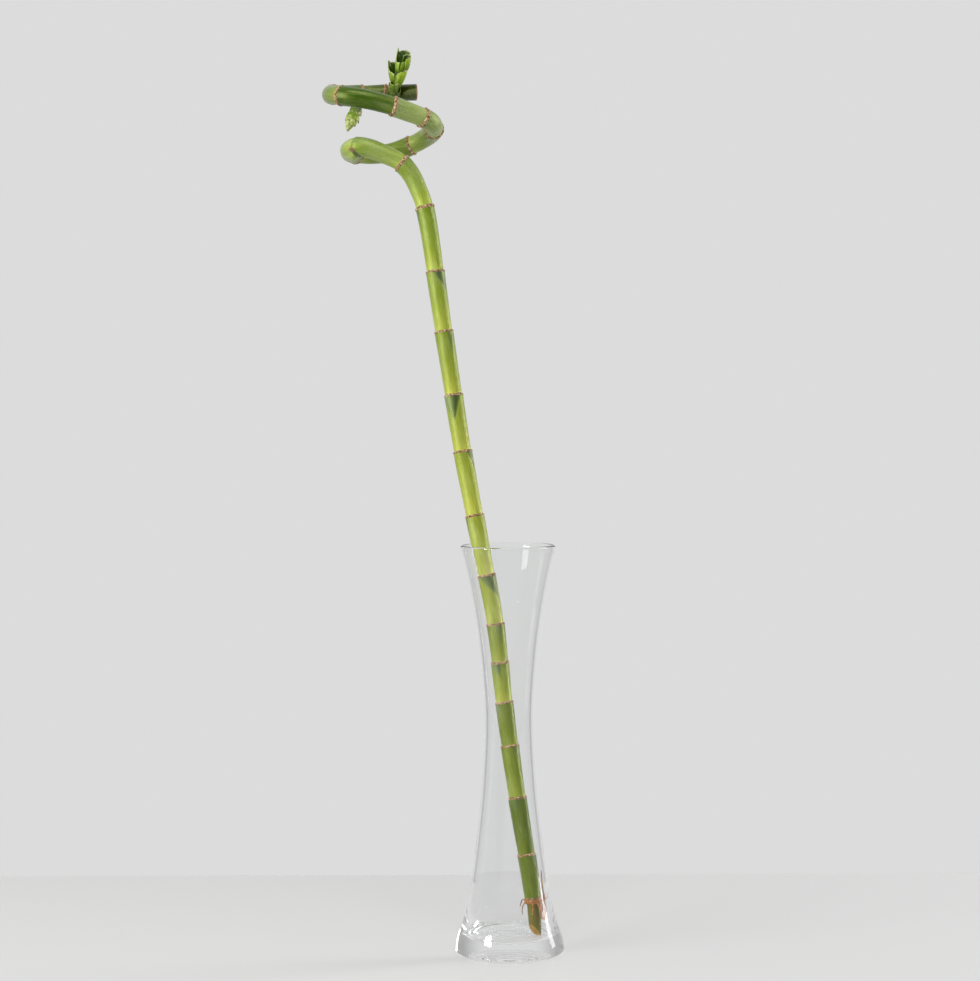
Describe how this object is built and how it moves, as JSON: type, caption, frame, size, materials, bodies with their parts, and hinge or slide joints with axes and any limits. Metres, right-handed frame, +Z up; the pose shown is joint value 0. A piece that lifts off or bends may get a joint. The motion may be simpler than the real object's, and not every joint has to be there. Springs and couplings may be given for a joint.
{
  "type": "lucky bamboo in a vase",
  "caption": "Lucky bamboo: a ringed green cane with a spiral top, roots and trimmed shoots, leaning in a clear glass vase with a thick base.",
  "frame": {"origin": "centre of the vase's flat underside, at table level", "axes": "+Z up along the vase's axis; the front is seen when looking along +Y; the cane leans towards -X and a little towards +Y, and its spiral top winds on the -X side"},
  "size_m": [0.1802, 0.1481, 0.6792],
  "materials": {
    "vase_glass": "clear polished glass with a fire-polished rim",
    "cane": "living green cane, waxy satin, with tan rings",
    "root": "orange-brown fleshy roots, matt",
    "leaf": "living green leaf bases, satin, with pale cut edges"
  },
  "bodies": {
    "root": {"vase": "vase_glass", "stalk": "cane", "roots": "root", "upper_shoot": "leaf", "lower_shoot": "leaf"}
  },
  "joints": []
}
